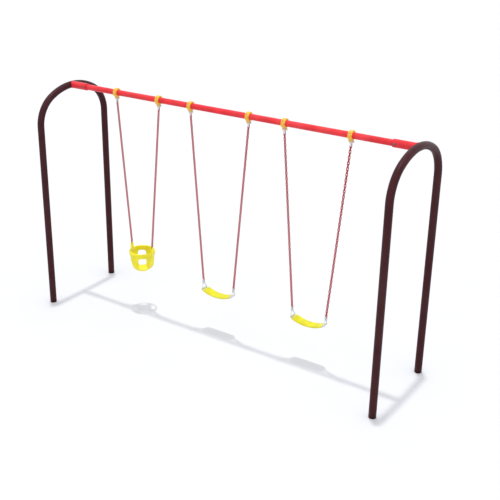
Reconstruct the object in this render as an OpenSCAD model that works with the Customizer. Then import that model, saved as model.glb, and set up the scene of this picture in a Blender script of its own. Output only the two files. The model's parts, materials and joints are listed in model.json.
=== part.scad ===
// Arch-frame swing set: two bent-tube arches, a top rail, one bucket seat and two belt seats.
// Millimetres. X runs along the rail, Y is the swinging direction, Z is up, the floor is z = 0.

/* [Frame] */
// Height of the rail axis above the floor
rail_h = 2438; // [2300:1:2600]
// Distance between the two arches, centre to centre
span = 4060; // [3900:10:4300]
// Distance between the two legs of one arch, centre to centre
leg_gap = 998; // [970:2:1030]
// Bend radius above each leg, to the tube centre
corner_r = 335; // [325:1:345]
// Diameter of the arch tube
arch_od = 73; // [70:0.5:76]
// Wall of the arch tube
arch_wall = 3.2; // [2.6:0.1:5]
// Diameter of the top rail
rail_od = 60.3; // [58:0.1:60.3]
// Wall of the top rail
rail_wall = 3.2; // [2.6:0.1:5]
// Diameter of the socket that joins the rail to an arch
socket_od = 76; // [74:0.5:80]
// Length of a socket from the arch centre to its lip
socket_len = 232; // [180:1:260]

/* [Hangers] */
// Outside diameter of the clamp ring
ring_od = 94; // [92:1:100]
// Width of the clamp ring along the rail
ring_w = 40; // [38:1:46]
// Distance from the rail axis down to the pivot axis
pivot_drop = 59; // [59:1:64]
// Diameter of the pivot bolt
pivot_d = 12; // [11:0.5:12]

/* [Chains] */
// Lean of each chain towards its seat, in degrees
lean = 5; // [4.8:0.1:5.2]
// Diameter of the coated chain wire
wire_d = 8; // [7:0.1:8]
// Distance from one link to the next
pitch = 27.5; // [27.5:0.1:29]
// Links in each chain of a belt seat
belt_links = 65; // [61:2:67]
// Links in each chain of the bucket seat
bucket_links = 58; // [54:2:60]
// Half the distance between the two hangers of a belt seat
belt_half = 348; // [340:1:356]
// Half the distance between the two hangers of the bucket seat
bucket_half = 282; // [278:1:290]

/* [Seats] */
// Place of the bucket seat along the rail
bucket_x = -1094; // [-1150:1:-1050]
// Place of the middle belt seat along the rail
belt_b_x = -55; // [-100:1:0]
// Place of the outer belt seat along the rail
belt_c_x = 1044; // [1000:1:1100]
// Width of a belt seat, front to back
belt_w = 118; // [110:1:130]
// Thickness of a belt seat
belt_t = 9; // [8:0.5:9]
// Height of the bucket from rim to floor
bucket_h = 240; // [230:1:260]
// Width of a leg opening in the bucket
leg_hole_w = 104; // [90:1:108]

/* [Hidden] */
$fn = 48;

maroon = [0.24, 0.12, 0.12];
red = [0.85, 0.13, 0.12];
amber = [0.98, 0.74, 0.2];
yellow = [0.98, 0.87, 0.06];
zinc = [0.7, 0.72, 0.74];
bronze = [0.66, 0.5, 0.28];
black = [0.1, 0.1, 0.1];

bore_gap = 0.05;      // radial clearance of a running fit
play = 0.2;           // slack where one link hangs on the next
part_gap = 0.1;       // gap between faces of neighbouring pieces
rivet_d = 8;

// Arch: two corner bends and a flatter crown bend that meet at a common tangent (8-15-17 triangle)
arch_x = span / 2;
leg_y = leg_gap / 2;
crown_off = leg_y - corner_r;
crown_r = corner_r + crown_off * 17 / 8;
crown_half = asin(8 / 17);
spring_z = rail_h - crown_r + crown_off * 15 / 8;
plug_h = 30;
plug_t = 4;
weld_r = arch_od / 2 + 0.8;
weld_t = arch_wall + 1.6;
weld_w = 6;
butt = 0.05;          // half the turn left open at a butt joint, under the weld

// Sockets and rail
socket_end = 14;      // distance from the arch centre at which the saddle stops
socket_lip = 1.5;     // chamfer of the lip
cope_a = 20;          // turn of the arch crown that the saddle is cut with
rail_end = 50;        // distance from the arch centre at which the rail stops
rail_bolt_in = 24;    // distance from the socket lip to its bolt
rail_bolt_d = 12;
rail_bolt_seat = socket_od / 2 + part_gap;
rail_bolt_tail = 16;

// Hangers
hanger_x = [bucket_x - bucket_half, bucket_x + bucket_half, belt_b_x - belt_half, belt_b_x + belt_half,
    belt_c_x - belt_half, belt_c_x + belt_half];
ring_ri = rail_od / 2 + bore_gap;
ring_ro = ring_od / 2;
ring_chamfer = 3;
split = 0.75;         // half the gap between cap and yoke
clamp_y = (ring_ri + ring_ro) / 2;
clamp_d = 8;
clamp_seat = 12;      // height of the spot face for a clamp bolt's washer
clamp_depth = 20;
spot_d = 16;
washer_t = 1.5;
washer_d = 15.4;
fork_gap = 15;        // gap between the yoke's cheeks
cheek_t = 9;
cheek_r = 14;
cheek_up = 20;        // height of a cheek's straight part, into the ring
eye_room = 0.5;       // room round the pendulum's eye under the ring
pivot_z = rail_h - pivot_drop;
pivot_hex = 18;       // width across the flats of the pivot bolt's head and nut
pivot_head_h = 7.5;
pivot_nut_h = 12;
bush_r = 8;

// Pendulums and clevises
eye_r = 13;
eye_w = 14.4;
boss_d = 18;          // round end of a fork, about its pin
shank_top = 8;        // where a pendulum's shank starts below the pivot axis
pin_drop = 32;        // distance between the two pin axes of a pendulum or a clevis
pin_d = 8;
fork_half = 11;       // half the width of a chain fork
link_slot = wire_d / 2 + 0.8;
slot_deep = 13.5;     // room past a chain pin for the end of a link
slot_out = 20;        // cut beyond the open end of a fork
neck_top = 14;        // where a clevis turns from its chain fork to its cross fork
neck_low = 19;
cross_deep = 12.5;    // room above a seat pin in a clevis
cross_low = 20.5;
seat_pin_d = 10;
seat_slot = 5.2;
seat_cheek = 10;
seat_boss_d = 19;

// Chains
link_in = pitch + play;
link_half = link_in / 2;
bend_r = wire_d / 2 + 5;
first_link = link_half - pin_d / 2 - play;
pin_z = pivot_z - pin_drop;
belt_len = (belt_links - 1) * pitch + 2 * first_link;
bucket_len = (bucket_links - 1) * pitch + 2 * first_link;
belt_pin_x = belt_half - belt_len * sin(lean);
belt_pin_z = pin_z - belt_len * cos(lean);
seat_pin_z = belt_pin_z - pin_drop;
ear_x = bucket_half - bucket_len * sin(lean);
ear_z = pin_z - bucket_len * cos(lean);

// Belt seats
ring_in = 9.9;        // distance of the knuckle inwards of the seat pin
ring_drop = 58;       // distance of the knuckle below the seat pin
belt_r = 399;         // radius of the hanging belt, to its middle
knuckle_x = belt_pin_x - ring_in;
knuckle_z = seat_pin_z - ring_drop;
knuckle_a = asin(knuckle_x / belt_r);
knuckle_w = 68;
knuckle_r = 8.6;
belt_cz = knuckle_z + belt_r * cos(knuckle_a);
belt_a = knuckle_a - 1.6;
plate_a0 = knuckle_a - 5.6;
plate_a1 = knuckle_a - 0.3;
rivet_a = knuckle_a - 3.6;
rivet_y = 36;
plate_t = 3;
plate_w = 84;
plate_in = belt_t / 2 + part_gap;
plate_out = plate_in + plate_t;
bore_long = 40;       // a cut longer than any hole it makes
ring_wire = 8;
ring_eye_w = 9;
ring_eye_d = 22;
ring_base = 46;       // half the width of a delta ring at its base
ring_ball = 4.7;
ring_top = 5;
delta_lean = atan(ring_in / ring_drop);
delta_h = ring_drop / cos(delta_lean);
leg_a = atan((ring_base - ring_top) / delta_h);
ring_leg = (ring_base - ring_top) / sin(leg_a);

// Bucket
ear_up = 58;          // height of an ear's pin above the rim
ear_in = 0.3;         // how far the rim reaches out past the pin
ear_w = 32;
ear_t = 18;           // width and thickness of the fork round the pin
ear_shoulder = 14;    // where the fork widens to the plate
ear_foot = 56;        // where the fork ends and the plate runs down the rim
ear_low = 104;
ear_back = 0.6;       // distance of the plate's inner face outward of the pin
rivet_z = [-14, -32]; // places of the ear rivets below the rim
rim_z = ear_z - ear_up;
rim_r = ear_x + ear_in;
bead_w = 14;
bead_h = 44;
bead_drop = 6;        // where the wall runs into the bead
wall_in = 4;          // distance of the wall's outer face inwards of the rim, at the bead
bowl_t = 8;
bowl_r = 110;         // outer radius of the bowl's lower bend
bowl_in = 22;         // distance of that bend's centre from the bucket axis
hole_top = -52;
hole_low = -220;
hole_corner = 30;
hole_a = 42;          // turn of each leg opening away from the swinging direction
hole_in = 35;         // distance from the bucket axis at which a leg opening starts
hole_long = 130;

module pipe_ring(od, wall) {
    difference() {
        circle(d = od);
        circle(d = od - 2 * wall);
    }
}

module along_x(h, d) {
    rotate([0, 90, 0]) cylinder(h = h, d = d, center = true);
}

module along_y(h, d) {
    rotate([90, 0, 0]) cylinder(h = h, d = d, center = true);
}

// Turned part about local Z from a list of [radius, height] points
module turned(points) {
    rotate_extrude() polygon(points);
}

// Arches, sockets and rail

// Weld ring around the butt joint of two bends, a little proud inside and outside
module weld_ring() {
    linear_extrude(weld_w, center = true) difference() {
        circle(r = weld_r);
        circle(r = weld_r - weld_t);
    }
}

module arch(side) {
    color(maroon) translate([side * arch_x, 0, 0]) {
        for (s = [0, 1]) mirror([0, s, 0]) {
            translate([0, leg_y, 0]) linear_extrude(spring_z) pipe_ring(arch_od, arch_wall);
            translate([0, crown_off, spring_z]) rotate([90, 0, 90])
                rotate_extrude(angle = 90 - crown_half - butt, $fn = 96)
                    translate([corner_r, 0]) pipe_ring(arch_od, arch_wall);
            translate([0, crown_off, spring_z]) rotate([90 - crown_half, 0, 0]) translate([0, corner_r, 0])
                weld_ring();
        }
        translate([0, 0, rail_h - crown_r]) rotate([90, 0, 90]) rotate([0, 0, 90 - crown_half + butt])
            rotate_extrude(angle = 2 * (crown_half - butt), $fn = 96)
                translate([crown_r, 0]) pipe_ring(arch_od, arch_wall);
    }
}

module socket(side) {
    ri = rail_od / 2 + part_gap;
    ro = socket_od / 2;
    lip = arch_x - socket_len;
    long = socket_len - socket_end;
    color(red) difference() {
        translate([side * lip, 0, rail_h]) rotate([0, side * 90, 0])
            turned([[ri + 1, 0], [ro - socket_lip, 0], [ro, socket_lip], [ro, long], [ri, long], [ri, 1]]);
        translate([side * arch_x, 0, rail_h - crown_r]) rotate([90, 0, 90])
            rotate([0, 0, 90 - cope_a / 2]) rotate_extrude(angle = cope_a, $fn = 96)
                translate([crown_r, 0]) circle(d = arch_od + 2 * bore_gap);
        translate([side * (lip + rail_bolt_in), 0, rail_h]) along_y(socket_od + 10, rail_bolt_d + 2 * bore_gap);
    }
}

module top_rail() {
    color(red) difference() {
        translate([-arch_x + rail_end, 0, rail_h]) rotate([0, 90, 0])
            linear_extrude(span - 2 * rail_end) pipe_ring(rail_od, rail_wall);
        for (s = [-1, 1]) translate([s * (arch_x - socket_len + rail_bolt_in), 0, rail_h])
            along_y(rail_od + 10, rail_bolt_d + 2 * bore_gap);
    }
}

module rail_bolts() {
    r = rail_bolt_d / 2;
    tip = 2 * rail_bolt_seat + rail_bolt_tail;
    color(zinc) for (s = [-1, 1])
        translate([s * (arch_x - socket_len + rail_bolt_in), -rail_bolt_seat, rail_h]) rotate([-90, 0, 0])
            turned([[0, -7], [6, -6.2], [10, -4], [12, -1.5], [12, 0], [r, 0],
                [r, tip - 1], [r - 1, tip], [0, tip]]);
}

module hex_nut(width, bore, h) {
    difference() {
        cylinder(h = h, d = width / cos(30), $fn = 6);
        translate([0, 0, -1]) cylinder(h = h + 2, d = bore + 2 * bore_gap);
    }
}

module rail_nuts() {
    color(zinc) for (s = [-1, 1])
        translate([s * (arch_x - socket_len + rail_bolt_in), rail_bolt_seat, rail_h])
            rotate([-90, 0, 0]) hex_nut(19, rail_bolt_d, 11);
}

module foot_plugs() {
    r = arch_od / 2 - arch_wall - bore_gap;
    color(black) for (sx = [-1, 1], sy = [-1, 1]) translate([sx * arch_x, sy * leg_y, 0])
        turned([[0, 0], [r, 0], [r, plug_h], [r - plug_t, plug_h], [r - plug_t, 5], [0, 5]]);
}

// Hangers: the ring is split in a cap above the rail and a yoke below it

module hanger_ring() {
    w = ring_w / 2;
    c = ring_chamfer;
    rotate([0, 90, 0])
        turned([[ring_ri, -w], [ring_ro - c, -w], [ring_ro, -w + c],
            [ring_ro, w - c], [ring_ro - c, w], [ring_ri, w]]);
}

module hanger_cap(i) {
    color(amber) translate([hanger_x[i], 0, rail_h]) difference() {
        hanger_ring();
        translate([0, 0, split - ring_od / 2]) cube([ring_w + 2, ring_od + 2, ring_od], center = true);
        for (s = [-1, 1]) translate([0, s * clamp_y, 0]) {
            translate([0, 0, -1]) cylinder(h = ring_od, d = clamp_d + 2 * bore_gap);
            translate([0, 0, clamp_seat]) cylinder(h = ring_od, d = spot_d);
        }
    }
}

module hanger_yoke(i) {
    color(amber) translate([hanger_x[i], 0, rail_h]) difference() {
        union() {
            hanger_ring();
            for (s = [-1, 1]) translate([s * (fork_gap + cheek_t) / 2, 0, -pivot_drop]) {
                along_x(cheek_t, 2 * cheek_r);
                translate([0, 0, cheek_up / 2]) cube([cheek_t, 2 * cheek_r, cheek_up], center = true);
            }
        }
        rotate([0, 90, 0]) cylinder(h = ring_w + 2, r = ring_ri, center = true);
        translate([0, 0, ring_od / 2 - split]) cube([ring_w + 2, ring_od + 2, ring_od], center = true);
        for (s = [-1, 1]) translate([0, s * clamp_y, -clamp_depth - 1])
            cylinder(h = clamp_depth + 10, d = clamp_d + 2 * bore_gap);
        translate([0, 0, -pivot_drop]) {
            along_x(ring_w + 2, pivot_d + 2 * bore_gap);
            along_x(fork_gap, 2 * (cheek_r + eye_room));
        }
    }
}

module at_clamps(z) {
    for (x = hanger_x, s = [-1, 1]) translate([x, s * clamp_y, rail_h + z]) children();
}

module clamp_bolts() {
    r = clamp_d / 2;
    tip = -clamp_seat - washer_t - clamp_depth;
    head_r = 6.5;
    head_h = 8;
    hex_key = 6;
    color(zinc) at_clamps(clamp_seat + washer_t) difference() {
        turned([[0, tip], [r - 0.8, tip], [r, tip + 0.8], [r, 0], [head_r, 0],
            [head_r, head_h - 1], [head_r - 0.8, head_h], [0, head_h]]);
        translate([0, 0, head_h / 2]) cylinder(h = head_h, d = hex_key / cos(30), $fn = 6);
    }
}

module clamp_washers() {
    color(zinc) at_clamps(clamp_seat) linear_extrude(washer_t) difference() {
        circle(d = washer_d);
        circle(d = clamp_d + 4 * bore_gap);
    }
}

module at_pivots() {
    for (x = hanger_x) translate([x, 0, pivot_z]) children();
}

module pivot_bolts() {
    grip = fork_gap / 2 + cheek_t;
    color(zinc) at_pivots() rotate([0, 90, 0]) {
        translate([0, 0, -grip]) cylinder(h = 2 * grip + pivot_nut_h + 1, d = pivot_d);
        translate([0, 0, -grip - pivot_head_h]) cylinder(h = pivot_head_h, d = pivot_hex / cos(30), $fn = 6);
    }
}

module pivot_nuts() {
    color(zinc) at_pivots() translate([fork_gap / 2 + cheek_t, 0, 0]) rotate([0, 90, 0])
        hex_nut(pivot_hex, pivot_d, pivot_nut_h);
}

module pivot_bushes() {
    color(bronze) at_pivots() translate([-fork_gap / 2 + part_gap, 0, 0]) rotate([0, 90, 0])
        linear_extrude(fork_gap - 2 * part_gap) pipe_ring(2 * bush_r, bush_r - pivot_d / 2 - bore_gap);
}

// Pendulum: an eye on the pivot bush above, a fork for the first link below

module pendulum(i) {
    color(zinc) translate([hanger_x[i], 0, pivot_z]) difference() {
        union() {
            along_x(eye_w, 2 * eye_r);
            translate([0, 0, -(shank_top + pin_drop) / 2])
                cube([eye_w, 2 * fork_half, pin_drop - shank_top], center = true);
            translate([0, 0, -pin_drop]) along_y(2 * fork_half, boss_d);
        }
        along_x(eye_w + 2, 2 * (bush_r + bore_gap));
        translate([0, 0, -pin_drop]) {
            along_y(2 * fork_half + 2, pin_d + 2 * bore_gap);
            translate([0, 0, (slot_deep - slot_out) / 2])
                cube([slot_out, 2 * link_slot, slot_deep + slot_out], center = true);
        }
    }
}

module riveted_pin(d, grip) {
    r = d / 2;
    g = grip + part_gap;
    rim = 1.6;
    head = 3.6;
    turned([[0, -g - head], [r - 1, -g - head], [r + 2.5, -g - rim], [r + 2.5, -g], [r, -g],
        [r, g], [r + 2.5, g], [r + 2.5, g + rim], [r - 1, g + head], [0, g + head]]);
}

// Chains of welded links; alternate links are turned a quarter

module link() {
    reach = link_half - bend_r + wire_d / 2;
    for (s = [-1, 1]) {
        translate([s * bend_r, 0, -reach]) cylinder(h = 2 * reach, d = wire_d, $fn = 24);
        translate([0, 0, s * reach]) rotate([s * 90, 0, 0])
            rotate_extrude(angle = 180, $fn = 32) translate([bend_r, 0]) circle(d = wire_d, $fn = 24);
    }
}

module chain(i, side, count) {
    color(red) translate([hanger_x[i], 0, pin_z]) rotate([0, side * lean, 0])
        for (k = [0 : count - 1])
            translate([0, 0, -first_link - k * pitch]) rotate([0, 0, 90 * (k % 2)]) link();
}

module at_top_pins(x, half) {
    for (s = [-1, 1]) translate([x + s * half, 0, pin_z]) rotate([90, 0, 0]) children();
}

module at_belt_ends(x, z) {
    for (s = [-1, 1]) translate([x + s * belt_pin_x, 0, z]) children();
}

module chain_pins_a() {
    color(zinc) at_top_pins(bucket_x, bucket_half) riveted_pin(pin_d, fork_half);
}

module belt_chain_pins(x) {
    color(zinc) {
        at_top_pins(x, belt_half) riveted_pin(pin_d, fork_half);
        at_belt_ends(x, belt_pin_z) rotate([90, 0, 0]) riveted_pin(pin_d, fork_half);
    }
}

// Clevis below a belt seat's chain: a fork for the last link, a cross fork for the delta ring

module clevis(x, side) {
    color(zinc) translate([x + side * belt_pin_x, 0, belt_pin_z]) difference() {
        union() {
            along_y(2 * fork_half, boss_d);
            translate([0, 0, -neck_low / 2]) cube([eye_w, 2 * fork_half, neck_low], center = true);
            translate([0, 0, -(neck_top + pin_drop) / 2])
                cube([2 * seat_cheek, 2 * fork_half, pin_drop - neck_top], center = true);
            translate([0, 0, -pin_drop]) along_x(2 * seat_cheek, seat_boss_d);
        }
        along_y(2 * fork_half + 2, pin_d + 2 * bore_gap);
        translate([0, 0, (slot_out - slot_deep) / 2])
            cube([slot_out, 2 * link_slot, slot_deep + slot_out], center = true);
        translate([0, 0, -pin_drop]) {
            along_x(2 * seat_cheek + 2, seat_pin_d + 2 * bore_gap);
            translate([0, 0, (cross_deep - cross_low) / 2])
                cube([2 * seat_slot, 2 * fork_half + 2, cross_deep + cross_low], center = true);
        }
    }
}

module seat_pins(x) {
    color(zinc) at_belt_ends(x, seat_pin_z) rotate([0, 90, 0]) riveted_pin(seat_pin_d, seat_cheek);
}

// Belt seat: a strap curved about an axis above it, clamped at both ends

module belt_arc(x, a0, a1) {
    translate([x, 0, belt_cz]) rotate([90, 0, 0]) rotate([0, 0, a0 - 90])
        rotate_extrude(angle = a1 - a0, $fn = 180) children();
}

module radial(x, a) {
    translate([x, 0, belt_cz]) rotate([0, -a, 0]) children();
}

module at_rivets(x) {
    for (s = [-1, 1], y = [-rivet_y, 0, rivet_y])
        radial(x, s * rivet_a) translate([0, y, -belt_r]) children();
}

module belt_seat(x) {
    color(yellow) difference() {
        belt_arc(x, -belt_a, belt_a) translate([belt_r, 0]) {
            square([belt_t, belt_w - belt_t], center = true);
            for (s = [-1, 1]) translate([0, s * (belt_w - belt_t) / 2]) circle(d = belt_t);
        }
        at_rivets(x) cylinder(h = bore_long, d = rivet_d + 2 * bore_gap, center = true);
    }
}

// Clamp plate under each end of the belt, its edge rolled into a knuckle for the delta ring
module end_clamps(x) {
    color(zinc) for (s = [-1, 1]) mirror_about(x, s) difference() {
        union() {
            belt_arc(x, plate_a0, plate_a1)
                translate([belt_r + plate_in, -plate_w / 2]) square([plate_t, plate_w]);
            translate([x + knuckle_x, 0, knuckle_z]) along_y(knuckle_w, 2 * knuckle_r);
        }
        translate([x + knuckle_x, 0, knuckle_z]) along_y(knuckle_w + 2, ring_wire + 2 * bore_gap);
        at_rivets(x) cylinder(h = bore_long, d = rivet_d + 2 * bore_gap, center = true);
    }
}

module mirror_about(x, s) {
    translate([x, 0, 0]) mirror([s < 0 ? 1 : 0, 0, 0]) translate([-x, 0, 0]) children();
}

module belt_rivets(x) {
    color(zinc) at_rivets(x) translate([0, 0, (belt_t / 2 - plate_out) / 2])
        riveted_pin(rivet_d, (belt_t / 2 + plate_out) / 2);
}

// Delta ring: three bars; the base turns in the clamp's knuckle and the eye hangs on the seat pin

module delta_rings(x) {
    color(zinc) for (s = [-1, 1]) mirror_about(x, s) translate([x + belt_pin_x, 0, seat_pin_z]) difference() {
        union() {
            along_x(ring_eye_w, ring_eye_d);
            rotate([0, delta_lean, 0]) {
                translate([0, 0, -delta_h]) along_y(2 * ring_base, ring_wire);
                for (t = [0, 1]) mirror([0, t, 0]) translate([0, ring_base, -delta_h]) {
                    sphere(r = ring_ball);
                    rotate([leg_a, 0, 0]) cylinder(h = ring_leg, d = ring_wire);
                }
            }
        }
        along_x(bore_long, seat_pin_d + 2 * bore_gap);
    }
}

// Bucket: a turned bowl with a beaded rim and four leg openings

module bowl_side(t) {
    polygon([[0, t - bucket_h], [bowl_in, t - bucket_h], [bowl_in, bowl_r - bucket_h],
        [bowl_in + bowl_r - t, bowl_r - bucket_h], [rim_r - wall_in - t, -bead_drop], [0, -bead_drop]]);
    intersection() {
        translate([bowl_in, bowl_r - bucket_h]) circle(r = bowl_r - t);
        translate([bowl_in, t - bucket_h]) square([bowl_r, bowl_r - t]);
    }
}

module bowl_profile() {
    difference() {
        bowl_side(0);
        bowl_side(bowl_t);
    }
    translate([rim_r - bead_w, -bead_h + bead_w / 2]) square([bead_w, bead_h - bead_w]);
    for (z = [-bead_w / 2, bead_w / 2 - bead_h]) translate([rim_r - bead_w / 2, z]) circle(d = bead_w);
}

module at_ear_rivets() {
    for (s = [-1, 1], z = rivet_z) translate([bucket_x, 0, rim_z + z]) rotate([0, s * 90, 0]) children();
}

module leg_opening() {
    w = leg_hole_w / 2;
    c = hole_corner;
    for (y = [c - w, w - c], z = [hole_low + c, hole_top - c])
        translate([hole_in, y, z]) rotate([0, 90, 0]) cylinder(h = hole_long, r = c);
    translate([hole_in, -w, hole_low + c]) cube([hole_long, 2 * w, hole_top - hole_low - 2 * c]);
    translate([hole_in, c - w, hole_low]) cube([hole_long, 2 * (w - c), hole_top - hole_low]);
}

module bucket_seat() {
    color(yellow) difference() {
        translate([bucket_x, 0, rim_z]) difference() {
            rotate_extrude($fn = 96) bowl_profile();
            for (a = [-90 + hole_a, -90 - hole_a, 90 + hole_a, 90 - hole_a]) rotate([0, 0, a]) leg_opening();
        }
        at_ear_rivets() cylinder(h = rim_r + 20, d = rivet_d + 2 * bore_gap);
    }
}

module bucket_ears() {
    color(amber) difference() {
        for (a = [0, 180]) translate([bucket_x, 0, ear_z]) rotate([0, 0, a]) translate([ear_x, 0, 0])
            difference() {
                union() {
                    along_x(ear_t, ear_t);
                    translate([0, 0, -ear_shoulder / 2]) cube([ear_t, ear_t, ear_shoulder], center = true);
                    translate([0, 0, -(ear_shoulder + ear_foot) / 2])
                        cube([ear_t, ear_w, ear_foot - ear_shoulder], center = true);
                    translate([ear_back, -ear_w / 2, -ear_low])
                        cube([ear_t / 2 - ear_back, ear_w, ear_low - ear_foot + 2]);
                }
                translate([0, 0, (slot_out - slot_deep) / 2])
                    cube([2 * link_slot, ear_w + 2, slot_deep + slot_out], center = true);
                along_x(ear_t + 2, pin_d + 2 * bore_gap);
            }
        at_ear_rivets() cylinder(h = rim_r + 20, d = rivet_d + 2 * bore_gap);
    }
}

module bucket_rivets() {
    inside = rim_r - bead_w - 0.4;
    outside = ear_x + ear_t / 2 + ear_in;
    color(zinc) at_ear_rivets() translate([0, 0, (inside + outside) / 2])
        riveted_pin(rivet_d, (outside - inside) / 2);
}

module ear_pins() {
    color(zinc) for (s = [-1, 1]) translate([bucket_x + s * ear_x, 0, ear_z]) rotate([0, 90, 0])
        riveted_pin(pin_d, ear_t / 2);
}

arch(-1);  // arch_left
arch(1);  // arch_right
socket(-1);  // socket_left
socket(1);  // socket_right
top_rail();
rail_bolts();
rail_nuts();
foot_plugs();
hanger_cap(0);  // hanger_cap_a1
hanger_cap(1);  // hanger_cap_a2
hanger_cap(2);  // hanger_cap_b1
hanger_cap(3);  // hanger_cap_b2
hanger_cap(4);  // hanger_cap_c1
hanger_cap(5);  // hanger_cap_c2
hanger_yoke(0);  // hanger_yoke_a1
hanger_yoke(1);  // hanger_yoke_a2
hanger_yoke(2);  // hanger_yoke_b1
hanger_yoke(3);  // hanger_yoke_b2
hanger_yoke(4);  // hanger_yoke_c1
hanger_yoke(5);  // hanger_yoke_c2
clamp_bolts();
clamp_washers();
pivot_bolts();
pivot_nuts();
pivot_bushes();
pendulum(0);  // pendulum_a1
pendulum(1);  // pendulum_a2
chain(0, -1, bucket_links);  // chain_a1
chain(1, 1, bucket_links);  // chain_a2
chain_pins_a();
bucket_seat();
bucket_ears();
bucket_rivets();
ear_pins();
pendulum(2);  // pendulum_b1
pendulum(3);  // pendulum_b2
chain(2, -1, belt_links);  // chain_b1
chain(3, 1, belt_links);  // chain_b2
clevis(belt_b_x, -1);  // clevis_b1
clevis(belt_b_x, 1);  // clevis_b2
belt_chain_pins(belt_b_x);  // chain_pins_b
seat_pins(belt_b_x);  // seat_pins_b
belt_seat(belt_b_x);  // belt_seat_b
end_clamps(belt_b_x);  // end_clamps_b
belt_rivets(belt_b_x);  // belt_rivets_b
delta_rings(belt_b_x);  // delta_rings_b
pendulum(4);  // pendulum_c1
pendulum(5);  // pendulum_c2
chain(4, -1, belt_links);  // chain_c1
chain(5, 1, belt_links);  // chain_c2
clevis(belt_c_x, -1);  // clevis_c1
clevis(belt_c_x, 1);  // clevis_c2
belt_chain_pins(belt_c_x);  // chain_pins_c
seat_pins(belt_c_x);  // seat_pins_c
belt_seat(belt_c_x);  // belt_seat_c
end_clamps(belt_c_x);  // end_clamps_c
belt_rivets(belt_c_x);  // belt_rivets_c
delta_rings(belt_c_x);  // delta_rings_c
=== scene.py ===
import json
import math
import random

import bmesh
import bpy
from mathutils import Matrix, Vector


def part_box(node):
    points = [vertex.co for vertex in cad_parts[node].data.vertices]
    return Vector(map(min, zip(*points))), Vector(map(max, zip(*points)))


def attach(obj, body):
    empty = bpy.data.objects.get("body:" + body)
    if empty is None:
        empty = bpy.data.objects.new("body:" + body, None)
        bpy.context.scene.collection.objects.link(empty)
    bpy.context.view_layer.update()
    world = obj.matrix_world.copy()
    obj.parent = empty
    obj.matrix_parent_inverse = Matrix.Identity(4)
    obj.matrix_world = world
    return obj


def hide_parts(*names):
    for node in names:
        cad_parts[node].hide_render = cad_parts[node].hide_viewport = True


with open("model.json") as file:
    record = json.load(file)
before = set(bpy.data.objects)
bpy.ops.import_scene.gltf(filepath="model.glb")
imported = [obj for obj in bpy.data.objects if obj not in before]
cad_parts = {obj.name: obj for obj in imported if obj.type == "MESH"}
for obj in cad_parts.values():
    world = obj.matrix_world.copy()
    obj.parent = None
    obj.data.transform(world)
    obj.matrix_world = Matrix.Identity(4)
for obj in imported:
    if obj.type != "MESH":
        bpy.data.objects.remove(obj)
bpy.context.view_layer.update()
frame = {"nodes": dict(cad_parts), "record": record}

NODES = frame["nodes"]
random.seed(7)

# Sizes that the pieces share with the CAD, in metres
RAIL_H = 2.438
RAIL_R, RAIL_END = 0.03015, 1.980
TUBE_WALL = 0.0032
ARCH_X, ARCH_R = 2.030, 0.0365
CORNER_R, CORNER_Y, SPRING_Z = 0.335, 0.164, 2.062
CROWN_R, CROWN_HALF = 0.6835, math.asin(8 / 17)
SOCKET_R, SOCKET_END = 0.038, 0.014
PIVOT_Z = RAIL_H - 0.059
PIN_Z = PIVOT_Z - 0.032
LEAN = math.radians(5)
PITCH, FIRST_LINK = 0.0275, 0.00965
WIRE_R, LINK_BEND, LINK_REACH = 0.004, 0.009, 0.00885
BUCKET_X, BUCKET_HALF, BUCKET_LINKS = -1.094, 0.282, 58
BELTS = {"b": -0.055, "c": 1.044}
BELT_HALF, BELT_LINKS = 0.348, 65
BELT_R, BELT_W, BELT_T = 0.399, 0.118, 0.009
IDS = ["a1", "a2", "b1", "b2", "c1", "c2"]
HANGER_X = [BUCKET_X - BUCKET_HALF, BUCKET_X + BUCKET_HALF,
            BELTS["b"] - BELT_HALF, BELTS["b"] + BELT_HALF,
            BELTS["c"] - BELT_HALF, BELTS["c"] + BELT_HALF]
HOLE_W, HOLE_TOP, HOLE_LOW = 0.104, -0.052, -0.220
HOLE_CORNER, HOLE_TURN = 0.030, 42
BOWL_TOP_R, BOWL_LOW_R, BOWL_LOW = 0.136, 0.128, -0.130
BOWL_FLOOR_R, BOWL_BEND = 0.022, 0.106

# Sizes of the detail that the CAD leaves out, in metres
BUTT_BEAD = {"sink": 0.0022, "thick": 0.0028, "ripple": 0.00018, "count": 160}
SADDLE_BEAD, SADDLE_RIPPLE, SADDLE_JITTER = 0.0031, 0.00035, 0.0002
SADDLE_COUNT, SADDLE_WAVES, SADDLE_SINK = 180, 60, 0.0006
WELD_SWELL, WELD_LENGTH = 0.00045, 0.12
BELT_CORNER, BELT_SKIN = 0.018, 0.0002
GROOVE_IN, GROOVE_W, GROOVE_DEPTH, GROOVE_STOP = 0.013, 0.0022, 0.0011, 0.05
RIB_PITCH, RIB_DEPTH = 0.0125, 0.0010
RIB_SIDE = (BELT_W / 2 - 0.024, BELT_W / 2 - 0.019)
RIB_END = (0.105, 0.118)
HOLE_BEAD = 0.0062
RIM_LINES, RIM_LINE_R, RIM_LINE = (-0.0155, -0.0305), 0.1437, 0.0019
FLOOR_LINES, FLOOR_LINE_Z, FLOOR_LINE = (0.030, 0.052), -0.232, 0.0022
BUCKET_VOXEL, CASTING_VOXEL, FORGING_VOXEL = 0.0021, 0.0011, 0.0007

# Camera at the photograph's viewing angle, and the studio light
LENS, SHIFT = 66.1, (0.0812, -0.0116)
CAMERA_AT, PAN, TILT = (5.0173, -7.1397, 4.7007), -36.01, -22.74
SKY_COLOR, SKY_LEVEL = (0.94, 0.955, 1.0, 1), 1.26
SUN_LEVEL, SUN_ANGLE, SUN_RAY = 1.55, 2, (0.096, -0.097, -2.438)
SOFTBOX_POWER, SOFTBOX_SIZE = 60, 5
SOFTBOX_AT, SOFTBOX_AIM = (4.5, -6.5, 6.5), (0, 0, 1.2)
FLOOR_HALF = 60


def rad(a):
    return math.radians(a)


# ---------------------------------------------------------------- camera and light

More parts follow.
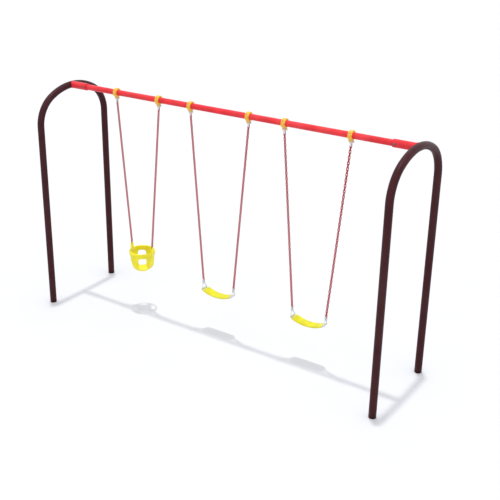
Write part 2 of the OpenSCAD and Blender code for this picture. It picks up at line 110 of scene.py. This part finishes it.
def make_camera():
    data = bpy.data.cameras.new("camera")
    data.sensor_width = 36
    data.lens = LENS
    data.shift_x, data.shift_y = SHIFT
    data.clip_end = 100
    cam = bpy.data.objects.new("camera", data)
    bpy.context.scene.collection.objects.link(cam)
    pan, tilt = rad(PAN), rad(TILT)
    look = Vector((math.sin(pan) * math.cos(tilt), math.cos(pan) * math.cos(tilt), math.sin(tilt)))
    cam.location = CAMERA_AT
    cam.rotation_euler = look.to_track_quat("-Z", "Y").to_euler()
    bpy.context.scene.camera = cam
    bpy.context.scene.view_settings.view_transform = "Standard"


def make_lights():
    world = bpy.data.worlds.new("studio")
    bpy.context.scene.world = world
    world.use_nodes = True
    bg = world.node_tree.nodes["Background"]
    bg.inputs["Color"].default_value = SKY_COLOR
    bg.inputs["Strength"].default_value = SKY_LEVEL
    sun = bpy.data.lights.new("sun", "SUN")
    sun.energy = SUN_LEVEL
    sun.angle = rad(SUN_ANGLE)
    obj = bpy.data.objects.new("sun", sun)
    bpy.context.scene.collection.objects.link(obj)
    obj.rotation_euler = Vector(SUN_RAY).to_track_quat("-Z", "Y").to_euler()
    soft = bpy.data.lights.new("softbox", "AREA")
    soft.energy = SOFTBOX_POWER
    soft.size = SOFTBOX_SIZE
    key = bpy.data.objects.new("softbox", soft)
    bpy.context.scene.collection.objects.link(key)
    key.location = SOFTBOX_AT
    key.rotation_euler = (Vector(SOFTBOX_AIM) - key.location).to_track_quat("-Z", "Y").to_euler()


# ---------------------------------------------------------------- materials

class Nodes:
    """A material's node tree with short calls."""

    def __init__(self, name):
        self.mat = bpy.data.materials.new(name)
        self.mat.use_nodes = True
        self.tree = self.mat.node_tree
        self.bsdf = self.tree.nodes["Principled BSDF"]
        self.coord = self.add("ShaderNodeTexCoord").outputs["Object"]

    def add(self, kind, **props):
        node = self.tree.nodes.new(kind)
        for key, value in props.items():
            setattr(node, key, value)
        return node

    def link(self, a, b):
        self.tree.links.new(a, b)

    def stretch(self, x, y, z):
        m = self.add("ShaderNodeMapping")
        m.inputs["Scale"].default_value = (x, y, z)
        self.link(self.coord, m.inputs["Vector"])
        return m.outputs["Vector"]

    def noise(self, scale, detail=3.0, rough=0.5, vector=None):
        n = self.add("ShaderNodeTexNoise")
        n.inputs["Scale"].default_value = scale
        n.inputs["Detail"].default_value = detail
        n.inputs["Roughness"].default_value = rough
        self.link(vector or self.coord, n.inputs["Vector"])
        return n.outputs["Fac"]

    def voronoi(self, scale, feature="F1", output="Distance"):
        n = self.add("ShaderNodeTexVoronoi", feature=feature)
        n.inputs["Scale"].default_value = scale
        self.link(self.coord, n.inputs["Vector"])
        return n.outputs[output]

    def spread(self, value, low, high, to_low=0.0, to_high=1.0):
        m = self.add("ShaderNodeMapRange")
        m.inputs["From Min"].default_value = low
        m.inputs["From Max"].default_value = high
        m.inputs["To Min"].default_value = to_low
        m.inputs["To Max"].default_value = to_high
        self.link(value, m.inputs["Value"])
        return m.outputs["Result"]

    def math(self, op, a, b):
        m = self.add("ShaderNodeMath", operation=op)
        for socket, value in zip(m.inputs, (a, b)):
            if isinstance(value, (int, float)):
                socket.default_value = value
            else:
                self.link(value, socket)
        return m.outputs["Value"]

    def mix(self, fac, a, b):
        m = self.add("ShaderNodeMix", data_type="RGBA")
        sockets = [s for s in m.inputs if s.type == "RGBA"]
        for socket, value in zip(sockets, (a, b)):
            if isinstance(value, tuple):
                socket.default_value = (*value, 1)
            else:
                self.link(value, socket)
        self.link(fac, m.inputs["Factor"])
        return [s for s in m.outputs if s.type == "RGBA"][0]

    def bump(self, height, strength, distance, after=None):
        b = self.add("ShaderNodeBump")
        b.inputs["Strength"].default_value = strength
        b.inputs["Distance"].default_value = distance
        self.link(height, b.inputs["Height"])
        if after is not None:
            self.link(after, b.inputs["Normal"])
        return b.outputs["Normal"]

    def finish(self, color, roughness, normal, **constants):
        self.link(color, self.bsdf.inputs["Base Color"])
        self.link(roughness, self.bsdf.inputs["Roughness"])
        self.link(normal, self.bsdf.inputs["Normal"])
        for key, value in constants.items():
            self.bsdf.inputs[key.replace("_", " ")].default_value = value
        return self.mat


def shade(color, k):
    return tuple(min(1.0, c * k) for c in color)


def powder_coat(name, color, dust, gloss, specular):
    """Sprayed powder coat: orange peel, faint mottling, pale specks, a thin film of dust."""
    n = Nodes(name)
    mottle = n.spread(n.noise(9, 4), 0.35, 0.65)
    base = n.mix(mottle, shade(color, 0.86), shade(color, 1.1))
    specks = n.spread(n.noise(420, 2, 0.6), 0.66, 0.74)
    base = n.mix(n.math("MULTIPLY", specks, 0.35), base, shade(color, 1.7))
    film = n.spread(n.noise(3.2, 5, 0.6, n.stretch(1, 1, 0.35)), 0.5, 0.8, 0, dust)
    base = n.mix(film, base, (0.55, 0.52, 0.48))
    rough = n.spread(n.noise(26, 4, 0.6), 0.3, 0.7, gloss - 0.07, gloss + 0.12)
    peel = n.bump(n.noise(520, 2, 0.5), 0.16, 0.0006)
    waves = n.bump(n.noise(70, 2, 0.5), 0.08, 0.002, peel)
    return n.finish(base, rough, waves, Metallic=0.0, Specular_IOR_Level=specular)


def cast_paint(name, color):
    """Paint over a sand casting: pebbled skin, uneven colour, small worn spots."""
    n = Nodes(name)
    pebble = n.noise(260, 4, 0.6)
    lumps = n.noise(60, 3, 0.5)
    base = n.mix(n.spread(lumps, 0.35, 0.65), shade(color, 0.82), shade(color, 1.08))
    worn = n.spread(n.noise(95, 6, 0.7), 0.7, 0.76, 0, 0.5)
    base = n.mix(worn, base, shade(color, 0.45))
    rough = n.spread(pebble, 0.3, 0.7, 0.34, 0.55)
    skin = n.bump(pebble, 0.35, 0.0009)
    skin = n.bump(lumps, 0.25, 0.002, skin)
    return n.finish(base, rough, skin, Metallic=0.0, Coat_Weight=0.12)


def zinc_plate(name, light=(0.74, 0.76, 0.78), dark=(0.50, 0.52, 0.54)):
    """Zinc-plated steel: spangle, dull patches, fine marks."""
    n = Nodes(name)
    grey = n.add("ShaderNodeSeparateColor")
    n.link(n.voronoi(170, output="Color"), grey.inputs["Color"])
    base = n.mix(grey.outputs["Red"], dark, light)
    dull = n.spread(n.noise(45, 5, 0.65), 0.5, 0.72, 0, 0.55)
    base = n.mix(dull, base, shade(dark, 0.78))
    rough = n.spread(n.noise(120, 4, 0.6), 0.3, 0.7, 0.24, 0.46)
    marks = n.bump(n.noise(700, 3, 0.6), 0.14, 0.0004)
    return n.finish(base, rough, marks, Metallic=0.9)


def bronze(name):
    """Sintered bronze: mottled and finely pitted."""
    n = Nodes(name)
    base = n.mix(n.noise(150, 4), (0.45, 0.29, 0.12), (0.68, 0.48, 0.22))
    rough = n.spread(n.noise(300, 3), 0.3, 0.7, 0.3, 0.5)
    return n.finish(base, rough, n.bump(n.noise(900, 2), 0.2, 0.0003), Metallic=0.9)


def dipped_coat(name, color):
    """Plastisol dip on chain: thick, slightly uneven, scuffed in small patches."""
    n = Nodes(name)
    base = n.mix(n.spread(n.noise(40, 4), 0.3, 0.7), shade(color, 0.78), shade(color, 1.12))
    scuff = n.spread(n.noise(210, 5, 0.7), 0.62, 0.72, 0, 0.45)
    base = n.mix(scuff, base, shade(color, 0.5))
    rough = n.spread(n.noise(130, 3), 0.3, 0.7, 0.26, 0.44)
    dip = n.bump(n.noise(180, 2), 0.25, 0.0012)
    return n.finish(base, rough, dip, Metallic=0.0, Specular_IOR_Level=0.25)


def moulded(name, color, grain, scuffs, gloss, specular):
    """Moulded rubber or plastic: fine leather grain and rubbed patches."""
    n = Nodes(name)
    base = n.mix(n.spread(n.noise(14, 4), 0.35, 0.65), shade(color, 0.9), shade(color, 1.06))
    rub = n.spread(n.noise(55, 6, 0.7, n.stretch(1, 0.35, 1)), 0.58, 0.74, 0, scuffs)
    base = n.mix(rub, base, shade(color, 0.66))
    cells = n.voronoi(grain, "SMOOTH_F1")
    rough = n.spread(n.noise(80, 4, 0.6), 0.3, 0.7, gloss - 0.08, gloss + 0.14)
    skin = n.bump(cells, 0.3, 0.0005)
    skin = n.bump(n.noise(120, 3), 0.12, 0.0015, skin)
    return n.finish(base, rough, skin, Metallic=0.0, Subsurface_Weight=0.04,
                    Specular_IOR_Level=specular)


def plug_plastic(name):
    """Dark moulded plastic, matt and finely grained."""
    n = Nodes(name)
    base = n.mix(n.noise(60, 4), (0.03, 0.03, 0.032), (0.07, 0.07, 0.072))
    rough = n.spread(n.noise(200, 3), 0.3, 0.7, 0.45, 0.65)
    return n.finish(base, rough, n.bump(n.noise(800, 2), 0.25, 0.0004), Metallic=0.0)


def floor_material():
    """Pale studio floor, only just uneven."""
    n = Nodes("floor_paint")
    patches = n.spread(n.noise(1.3, 4), 0.3, 0.7)
    base = n.mix(patches, (0.578, 0.582, 0.592), (0.593, 0.597, 0.607))
    rough = n.spread(n.noise(8, 3), 0.3, 0.7, 0.7, 0.85)
    return n.finish(base, rough, n.bump(n.noise(90, 2), 0.02, 0.0005), Metallic=0.0)


MAROON = (0.043, 0.010, 0.012)
RED = (0.63, 0.024, 0.030)
CHAIN_RED = (0.38, 0.008, 0.012)
AMBER = (0.80, 0.42, 0.02)
YELLOW = (0.84, 0.74, 0.004)
BELT_YELLOW = (0.58, 0.54, 0.004)
BUCKET_YELLOW = (0.76, 0.67, 0.004)

MATS = {
    "arch_coat": powder_coat("maroon_powder_coat", MAROON, dust=0.02, gloss=0.36, specular=0.09),
    "rail_coat": powder_coat("red_powder_coat", RED, dust=0.06, gloss=0.32, specular=0.2),
    "chain_coat": dipped_coat("red_plastisol", CHAIN_RED),
    "hanger_coat": cast_paint("amber_cast_paint", AMBER),
    "ear_coat": cast_paint("yellow_cast_paint", YELLOW),
    "belt_rubber": moulded("yellow_rubber", BELT_YELLOW, grain=900, scuffs=0.35,
                           gloss=0.5, specular=0.25),
    "bucket_shell": moulded("yellow_moulding", BUCKET_YELLOW, grain=700, scuffs=0.25,
                            gloss=0.36, specular=0.5),
    "plug_plastic": plug_plastic("black_plug_plastic"),
    "bush_bronze": bronze("sintered_bronze"),
    "zinc": zinc_plate("bright_zinc"),
}
# Zinc darkened to a reddish brown, much darker than the bright zinc, for the rail bolts and nuts.
DARK_ZINC = zinc_plate("dark_zinc", (0.20, 0.16, 0.16), (0.10, 0.08, 0.08))


def dress(obj, slot):
    """Gives a piece the material of a record slot."""
    obj.data.materials.clear()
    obj.data.materials.append(MATS[slot])


def place(obj, body, *nodes):
    """A piece rides on a body and stands for CAD nodes."""
    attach(obj, body)
    if nodes:
        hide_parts(*nodes)


# ---------------------------------------------------------------- mesh helpers

def new_object(name, verts, faces, smooth=True):
    me = bpy.data.meshes.new(name)
    me.from_pydata([tuple(v) for v in verts], [], faces)
    me.validate()
    if smooth:
        me.polygons.foreach_set("use_smooth", [True] * len(me.polygons))
    me.update()
    obj = bpy.data.objects.new(name, me)
    bpy.context.scene.collection.objects.link(obj)
    return obj


def outward(obj):
    """Turns every face's normal out of the solid."""
    bm = bmesh.new()
    bm.from_mesh(obj.data)
    bmesh.ops.recalc_face_normals(bm, faces=bm.faces)
    bm.to_mesh(obj.data)
    bm.free()


def copy_of_node(name, node):
    """A plain mesh object with the CAD node's mesh, welded."""
    me = NODES[node].data.copy()
    me.name = name
    obj = bpy.data.objects.new(name, me)
    bpy.context.scene.collection.objects.link(obj)
    bm = bmesh.new()
    bm.from_mesh(me)
    bmesh.ops.remove_doubles(bm, verts=bm.verts, dist=1e-6)
    bm.to_mesh(me)
    bm.free()
    return obj


def soften(obj, voxel, passes):
    """Rounds every edge, as a mould or a casting does: voxel remesh, then smoothing."""
    remesh = obj.modifiers.new("remesh", "REMESH")
    remesh.mode = "VOXEL"
    remesh.voxel_size = voxel
    remesh.use_smooth_shade = True
    smooth = obj.modifiers.new("smooth", "SMOOTH")
    smooth.factor = 0.5
    smooth.iterations = passes
    apply_modifiers(obj)
    obj.data.polygons.foreach_set("use_smooth", [True] * len(obj.data.polygons))


def apply_modifiers(obj):
    """Swaps an object's mesh for the one its modifiers make."""
    dg = bpy.context.evaluated_depsgraph_get()
    dg.update()
    me = bpy.data.meshes.new_from_object(obj.evaluated_get(dg))
    old = obj.data
    obj.modifiers.clear()
    obj.data = me
    me.name = old.name
    bpy.data.meshes.remove(old)


def tube(points, radius, sides=10, closed=True):
    """Vertices and faces of a round bar along points; radius is a number or one for each point."""
    count = len(points)
    verts, faces = [], []
    prev = None
    for i, p in enumerate(points):
        a = points[(i - 1) % count] if closed or i else p
        b = points[(i + 1) % count] if closed or i < count - 1 else p
        t = (b - a).normalized()
        if prev is None:
            ref = Vector((0, 0, 1)) if abs(t.z) < 0.9 else Vector((1, 0, 0))
            u = t.cross(ref).normalized()
        else:
            u = (prev - t * prev.dot(t)).normalized()
        prev = u
        w = t.cross(u)
        r = radius[i] if hasattr(radius, "__len__") else radius
        for k in range(sides):
            c = 2 * math.pi * k / sides
            verts.append(p + (u * math.cos(c) + w * math.sin(c)) * r)
    turns = count if closed else count - 1
    shift = 0
    if closed:
        # the frame turns a little over a closed path: match the last ring to the first
        first, last = verts[:sides], verts[-sides:]

        def gap(s):
            return sum((last[k] - first[(k + s) % sides]).length for k in range(sides))

        shift = min(range(sides), key=gap)
    for i in range(turns):
        j = (i + 1) % count
        here, there = i * sides, j * sides
        extra = shift if j == 0 else 0
        for k in range(sides):
            m = (k + 1) % sides
            faces.append((here + k, here + m, there + (m + extra) % sides, there + (k + extra) % sides))
    if not closed:
        faces.append(tuple(range(sides))[::-1])
        faces.append(tuple((count - 1) * sides + k for k in range(sides)))
    return verts, faces


def join_into(obj, others):
    """Adds (verts, faces) shells to an object's mesh."""
    bm = bmesh.new()
    bm.from_mesh(obj.data)
    for verts, faces in others:
        made = [bm.verts.new(v) for v in verts]
        for f in faces:
            bm.faces.new([made[i] for i in f])
    bmesh.ops.recalc_face_normals(bm, faces=bm.faces)
    bm.to_mesh(obj.data)
    bm.free()


# ---------------------------------------------------------------- arches and rail

def pipe(points, outer, inner, sides):
    """Vertices and faces of an open pipe with a real wall."""
    verts, faces = tube(points, outer, sides, closed=False)
    core, core_faces = tube(points, inner, sides, closed=False)
    base, last = len(verts), len(verts) - sides
    faces = faces[:-2] + [tuple(base + i for i in f[::-1]) for f in core_faces[:-2]]
    for k in range(sides):
        m = (k + 1) % sides
        faces.append((k, base + k, base + m, m))
        faces.append((last + m, base + last + m, base + last + k, last + k))
    return verts + core, faces


def arc(x, y, z, radius, a0, a1, step=1.5):
    """Points from angle a0 to a1 in the YZ plane, in degrees from +Y."""
    n = max(2, round(abs(a1 - a0) / step))
    angles = [rad(a0 + (a1 - a0) * k / n) for k in range(n + 1)]
    return [Vector((x, y + radius * math.cos(a), z + radius * math.sin(a))) for a in angles]


def bead(centre, axis, radius, thick, ripple, count):
    """A weld bead round a tube: a ring with the overlapping ripples of the weld pool."""
    side = axis.cross(Vector((1, 0, 0))).normalized()
    other = axis.cross(side)
    points, radii = [], []
    for k in range(count):
        a = 2 * math.pi * k / count
        points.append(centre + (side * math.cos(a) + other * math.sin(a)) * radius)
        radii.append(thick + ripple * math.sin(a * count / 4) + ripple * random.uniform(-0.4, 0.4))
    return tube(points, radii, sides=12)


def arch(name, node, x):
    """One arch as a smooth bent pipe, with a weld bead at each butt joint of its crown."""
    top = math.degrees(CROWN_HALF)
    leg_y = CORNER_Y + CORNER_R
    heights = [SPRING_Z * k / 24 for k in range(24)]
    path = [Vector((x, leg_y, z)) for z in heights]
    path += arc(x, CORNER_Y, SPRING_Z, CORNER_R, 0, 90 - top)
    path += arc(x, 0, RAIL_H - CROWN_R, CROWN_R, 90 - top, 90 + top)[1:-1]
    path += arc(x, -CORNER_Y, SPRING_Z, CORNER_R, 90 + top, 180)
    path += [Vector((x, -leg_y, z)) for z in heights[::-1]]
    verts, faces = pipe(path, ARCH_R, ARCH_R - TUBE_WALL, 48)
    obj = new_object(name, verts, faces)
    rings = []
    for s in (-1, 1):
        a = rad(90 - s * top)
        centre = Vector((x, s * CORNER_Y + CORNER_R * math.cos(a), SPRING_Z + CORNER_R * math.sin(a)))
        axis = Vector((0, -math.sin(a), math.cos(a)))
        rings.append(bead(centre, axis, ARCH_R - BUTT_BEAD["sink"], BUTT_BEAD["thick"],
                          BUTT_BEAD["ripple"], BUTT_BEAD["count"]))
    join_into(obj, rings)
    dress(obj, "arch_coat")
    place(obj, "frame", node)


def rail():
    """The top rail as a smooth pipe."""
    points = [Vector((x / 40 * RAIL_END, 0, RAIL_H)) for x in range(-40, 41)]
    verts, faces = pipe(points, RAIL_R, RAIL_R - TUBE_WALL, 64)
    obj = new_object("rail", verts, faces)
    outward(obj)
    dress(obj, "rail_coat")
    place(obj, "frame", "top_rail")


# ---------------------------------------------------------------- chains

def link_shape():
    """One welded link in the XZ plane: a stadium of round wire with the weld on one side."""
    points, radii = [], []
    bend_steps, side_steps = 9, 6
    for s in (1, -1):
        for k in range(bend_steps + 1):
            a = math.pi * k / bend_steps
            up = LINK_REACH + LINK_BEND * math.sin(a)
            points.append(Vector((s * LINK_BEND * math.cos(a), 0, s * up)))
            radii.append(WIRE_R)
        for k in range(1, side_steps):
            t = k / side_steps
            points.append(Vector((-s * LINK_BEND, 0, s * LINK_REACH * (1 - 2 * t))))
            swell = WELD_SWELL * math.exp(-((t - 0.5) / WELD_LENGTH) ** 2) if s > 0 else 0
            radii.append(WIRE_R + swell)
    return tube(points, radii, sides=14)


def chain(name, node, x, side, count, body):
    """A chain hanging from its hanger at x, every second link turned, its welds on either side."""
    shape, faces_one = link_shape()
    verts, faces = [], []
    hang = Matrix.Translation((x, 0, PIN_Z)) @ Matrix.Rotation(side * LEAN, 4, "Y")
    for k in range(count):
        drop = Matrix.Translation((0, 0, -FIRST_LINK - k * PITCH))
        m = hang @ drop @ Matrix.Rotation(rad(90) * (k % 2), 4, "Z")
        if random.random() < 0.5:
            m = m @ Matrix.Rotation(rad(180), 4, "Z")
        base = len(verts)
        verts += [m @ v for v in shape]
        faces += [tuple(base + i for i in f) for f in faces_one]
    obj = new_object(name, verts, faces)
    outward(obj)
    dress(obj, "chain_coat")
    place(obj, body, node)


# ---------------------------------------------------------------- belt seats

def smooth_step(v, a, b):
    """0 below a, 1 above b, and smooth between."""
    k = max(0.0, min(1.0, (v - a) / (b - a)))
    return k * k * (3 - 2 * k)


def belt(name, node, x, body):
    """A hanging rubber belt: tread ribs across the top, a groove along each edge, round corners."""
    lo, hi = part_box(node)
    cz = lo.z + BELT_R + BELT_T / 2
    half_a = math.asin((hi.x - lo.x) / 2 / (BELT_R + BELT_T / 2))
    half_len = half_a * BELT_R
    t = BELT_T / 2
    steps, top, bottom, edge = 300, 44, 16, 8
    verts, faces = [], []

    def section(s):
        """Points (y, r) round the belt at arc position s, r outward from its axis."""
        over = abs(s) - (half_len - BELT_CORNER)
        w = BELT_W / 2
        if over > 0:
            w -= BELT_CORNER - math.sqrt(max(0.0, BELT_CORNER ** 2 - over ** 2))
        inner = w - t
        out = []
        fade = 1 - smooth_step(abs(s), *RIB_END)
        for k in range(top + 1):
            y = -inner + 2 * inner * k / top
            r = -t + BELT_SKIN
            groove = math.exp(-((abs(y) - (BELT_W / 2 - GROOVE_IN)) / GROOVE_W) ** 2)
            rib = (0.5 + 0.5 * math.cos(2 * math.pi * s / RIB_PITCH)) ** 2
            rib *= 1 - smooth_step(abs(y), *RIB_SIDE)
            if over < -GROOVE_STOP:
                r += GROOVE_DEPTH * groove
            r -= RIB_DEPTH * rib * fade
            out.append((y, r))
        for k in range(1, edge):
            a = math.pi * k / edge
            out.append((inner + t * math.sin(a), -t * math.cos(a)))
        for k in range(bottom + 1):
            out.append((inner - 2 * inner * k / bottom, t))
        for k in range(1, edge):
            a = math.pi * k / edge
            out.append((-inner - t * math.sin(a), t * math.cos(a)))
        return out

    for i in range(steps + 1):
        s = (2 * i / steps - 1) * half_len
        if i in (0, steps):
            s *= 1 - 1e-4  # keeps the end faces just inside the belt's length
        pts = section(s)
        ring = len(pts)
        a = s / BELT_R
        for y, r in pts:
            reach = BELT_R + r
            verts.append(Vector((x + reach * math.sin(a), y, cz - reach * math.cos(a))))
    for i in range(steps):
        for k in range(ring):
            m = (k + 1) % ring
            faces.append((i * ring + k, i * ring + m, (i + 1) * ring + m, (i + 1) * ring + k))
    faces.append(tuple(range(ring))[::-1])
    faces.append(tuple(steps * ring + k for k in range(ring)))
    obj = new_object(name, verts, faces)
    outward(obj)
    dress(obj, "belt_rubber")
    place(obj, body, node)


# ---------------------------------------------------------------- bucket seat

def bowl_radius(z):
    """Radius of the middle of the bowl's wall at a height below the rim, in metres."""
    if z >= BOWL_LOW:
        return BOWL_TOP_R + (BOWL_LOW_R - BOWL_TOP_R) * z / BOWL_LOW
    return BOWL_FLOOR_R + math.sqrt(max(0.0, BOWL_BEND ** 2 - (z - BOWL_LOW) ** 2))


def hole_outline(step=0.004):
    """(sideways, height) points round a leg opening, a rectangle with round corners."""
    w, c = HOLE_W / 2 - HOLE_CORNER, HOLE_CORNER
    high, low = HOLE_TOP - c, HOLE_LOW + c
    corners = [(w, high, 0), (-w, high, 90), (-w, low, 180), (w, low, 270)]
    dense = []
    for y, z, start in corners:
        for k in range(0, 91, 5):
            a = rad(start + k)
            dense.append((y + c * math.cos(a), z + c * math.sin(a)))
    dense.append(dense[0])
    out = []
    for (y0, z0), (y1, z1) in zip(dense, dense[1:]):
        n = max(1, round(math.hypot(y1 - y0, z1 - z0) / step))
        out += [(y0 + (y1 - y0) * k / n, z0 + (z1 - z0) * k / n) for k in range(n)]
    return out


def circle_path(cx, z, radius, count=120):
    """Points on a level circle."""
    angles = [2 * math.pi * k / count for k in range(count)]
    return [Vector((cx + radius * math.cos(a), radius * math.sin(a), z)) for a in angles]


def bucket():
    """The bucket with a bead round each leg opening and lines on rim and floor, all moulded in one."""
    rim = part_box("bucket_seat")[1].z
    obj = copy_of_node("bucket_moulding", "bucket_seat")
    extra = []
    for a in (HOLE_TURN - 90, -HOLE_TURN - 90, 90 + HOLE_TURN, 90 - HOLE_TURN):
        m = Matrix.Translation((BUCKET_X, 0, rim)) @ Matrix.Rotation(rad(a), 4, "Z")
        path = []
        for p, z in hole_outline():
            r = bowl_radius(z)
            path.append(m @ Vector((math.sqrt(max(0.0, r * r - p * p)), p, z)))
        extra.append(tube(path, HOLE_BEAD, sides=12))
    for z in RIM_LINES:
        extra.append(tube(circle_path(BUCKET_X, rim + z, RIM_LINE_R), RIM_LINE, sides=8))
    for r in FLOOR_LINES:
        extra.append(tube(circle_path(BUCKET_X, rim + FLOOR_LINE_Z, r), FLOOR_LINE, sides=8))
    join_into(obj, extra)
    soften(obj, BUCKET_VOXEL, 5)
    dress(obj, "bucket_shell")
    place(obj, "seat_a", "bucket_seat")


# ---------------------------------------------------------------- castings and forgings

def cast_set(prefix, stem, slot, voxel, passes, body_of):
    """One softened copy of the first hanger's node, placed at each of the six hangers."""
    first = copy_of_node(prefix + "_mesh", stem + IDS[0])
    soften(first, voxel, passes)
    dress(first, slot)
    shape = first.data
    bpy.data.objects.remove(first)
    for tag, x in zip(IDS, HANGER_X):
        obj = bpy.data.objects.new(prefix + "_" + tag, shape)
        bpy.context.scene.collection.objects.link(obj)
        obj.location.x = x - HANGER_X[0]
        place(obj, body_of(tag), stem + tag)


# ---------------------------------------------------------------- welds

def saddle_weld(name, side):
    """The weld bead where a socket meets the arch's crown."""
    points, radii = [], []
    for k in range(SADDLE_COUNT):
        a = 2 * math.pi * k / SADDLE_COUNT
        y, z = SOCKET_R * math.cos(a), SOCKET_R * math.sin(a)
        off = math.hypot(y, z + CROWN_R) - CROWN_R
        x = math.sqrt(max(SOCKET_END ** 2, ARCH_R ** 2 - off ** 2))
        points.append(Vector((side * (ARCH_X - x - SADDLE_SINK), y, RAIL_H + z)))
        ripple = SADDLE_RIPPLE * math.sin(a * SADDLE_WAVES) + SADDLE_JITTER * random.uniform(-1, 1)
        radii.append(SADDLE_BEAD + ripple)
    verts, faces = tube(points, radii, sides=10)
    obj = new_object(name, verts, faces)
    outward(obj)
    dress(obj, "rail_coat")
    place(obj, "frame")


def make_floor():
    """The studio floor, a stage and not part of the object."""
    h = FLOOR_HALF
    verts = [Vector(v) for v in ((-h, -h, 0), (h, -h, 0), (h, h, 0), (-h, h, 0))]
    obj = new_object("floor", verts, [(0, 1, 2, 3)], smooth=False)
    obj.data.materials.append(floor_material())


# ---------------------------------------------------------------- build

make_camera()
make_lights()

for entry in frame["record"]["subparts"]:
    node = NODES[entry["node"]]
    node.data.materials.clear()
    node.data.materials.append(MATS[entry["material_slot"]])

# The rail bolts and nuts take the dark reddish-brown zinc instead of the bright zinc.
for node in ("rail_bolts", "rail_nuts"):
    NODES[node].data.materials[0] = DARK_ZINC
arch("arch_pipe_left", "arch_left", -ARCH_X)
arch("arch_pipe_right", "arch_right", ARCH_X)
rail()

for tag, x in zip(IDS, HANGER_X):
    letter = tag[0]
    count = BUCKET_LINKS if letter == "a" else BELT_LINKS
    chain("links_" + tag, "chain_" + tag, x, -1 if tag[1] == "1" else 1, count, "swing_" + letter)
for letter, x in BELTS.items():
    belt("belt_" + letter, "belt_seat_" + letter, x, "seat_" + letter)
bucket()
cast_set("cap", "hanger_cap_", "hanger_coat", CASTING_VOXEL, 3, lambda tag: "frame")
cast_set("yoke", "hanger_yoke_", "hanger_coat", CASTING_VOXEL, 3, lambda tag: "frame")
cast_set("pendulum", "pendulum_", "zinc", FORGING_VOXEL, 2, lambda tag: "swing_" + tag[0])
for side, tag in ((-1, "left"), (1, "right")):
    saddle_weld("socket_weld_" + tag, side)
make_floor()
